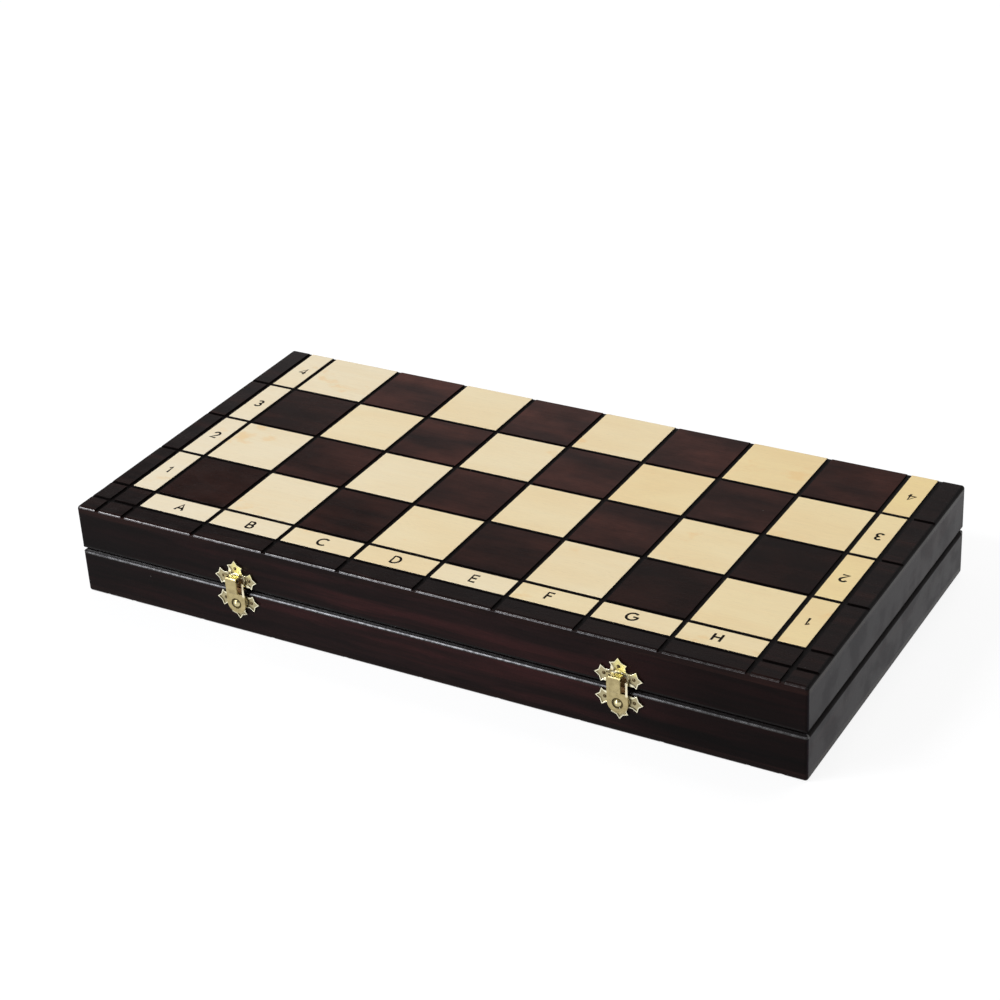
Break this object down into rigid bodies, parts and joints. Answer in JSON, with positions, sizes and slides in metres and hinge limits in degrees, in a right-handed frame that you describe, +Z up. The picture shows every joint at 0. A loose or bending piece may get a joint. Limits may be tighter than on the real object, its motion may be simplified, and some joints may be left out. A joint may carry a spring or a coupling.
{
  "type": "folding wooden chess box set",
  "caption": "Folding wooden chess box with inlaid playing board outside, hinged halves, swing latches and a lined tray of chessmen.",
  "frame": {"origin": "bottom centre of the closed box's bounding box, latches and hinge barrels counted", "axes": "+X along the long side towards the right seen from the latch side, +Y towards the hinges, +Z up out of the lid's playing board"},
  "size_m": [0.4, 0.2074, 0.05],
  "materials": {
    "dark_wood": "satin dark stained lacquer",
    "maple": "satin lacquered pale maple",
    "walnut": "satin dark stained tile with reddish figure",
    "latch_brass": "pale stamped brass",
    "hinge_brass": "satin brass",
    "screw_brass": "satin brass",
    "flock": "short flocked pile",
    "felt": "pressed felt",
    "boxwood": "satin lacquered boxwood",
    "ebonised": "satin ebonised wood"
  },
  "bodies": {
    "base": {"base_panel": "dark_wood", "base_light_squares": "maple", "base_dark_squares": "walnut", "base_label_tiles": "maple", "base_left_rail": "dark_wood", "base_right_rail": "dark_wood", "base_back_rail": "dark_wood", "base_front_rail": "dark_wood", "base_hinge_screws": "screw_brass", "left_hinge_base_leaf": "hinge_brass", "right_hinge_base_leaf": "hinge_brass", "left_hinge_pin": "hinge_brass", "right_hinge_pin": "hinge_brass", "left_latch_plate": "latch_brass", "right_latch_plate": "latch_brass", "left_latch_rivet": "latch_brass", "right_latch_rivet": "latch_brass", "latch_plate_nails": "latch_brass", "storage_tray": "flock", "white_king": "boxwood", "white_queen": "boxwood", "white_bishop_1": "boxwood", "white_bishop_2": "boxwood", "white_knight_1": "boxwood", "white_knight_2": "boxwood", "white_rook_1": "boxwood", "white_rook_2": "boxwood", "white_pawns": "boxwood", "white_felts": "felt", "black_king": "ebonised", "black_queen": "ebonised", "black_bishop_1": "ebonised", "black_bishop_2": "ebonised", "black_knight_1": "ebonised", "black_knight_2": "ebonised", "black_rook_1": "ebonised", "black_rook_2": "ebonised", "black_pawns": "ebonised", "black_felts": "felt"},
    "lid": {"lid_panel": "dark_wood", "lid_light_squares": "maple", "lid_dark_squares": "walnut", "lid_label_tiles": "maple", "lid_left_rail": "dark_wood", "lid_right_rail": "dark_wood", "lid_back_rail": "dark_wood", "lid_front_rail": "dark_wood", "lid_hinge_screws": "screw_brass", "left_hinge_lid_leaf": "hinge_brass", "right_hinge_lid_leaf": "hinge_brass", "left_catch_plate": "latch_brass", "right_catch_plate": "latch_brass", "catch_plate_nails": "latch_brass", "lid_liner": "flock"},
    "left_lever": {"left_latch_lever": "latch_brass"},
    "right_lever": {"right_latch_lever": "latch_brass"}
  },
  "joints": [
    {"name": "lid_hinge", "type": "hinge", "parent": "base", "child": "lid", "pos_m": [0, 0.10175, 0.025], "axis": [-1, 0, 0], "range_deg": [0, 180]},
    {"name": "left_latch_swing", "type": "hinge", "parent": "base", "child": "left_lever", "pos_m": [-0.10315, -0.09845, 0.0179], "axis": [0, -1, 0], "range_deg": [0, 100]},
    {"name": "right_latch_swing", "type": "hinge", "parent": "base", "child": "right_lever", "pos_m": [0.10795, -0.09845, 0.0179], "axis": [0, -1, 0], "range_deg": [0, 100]}
  ]
}
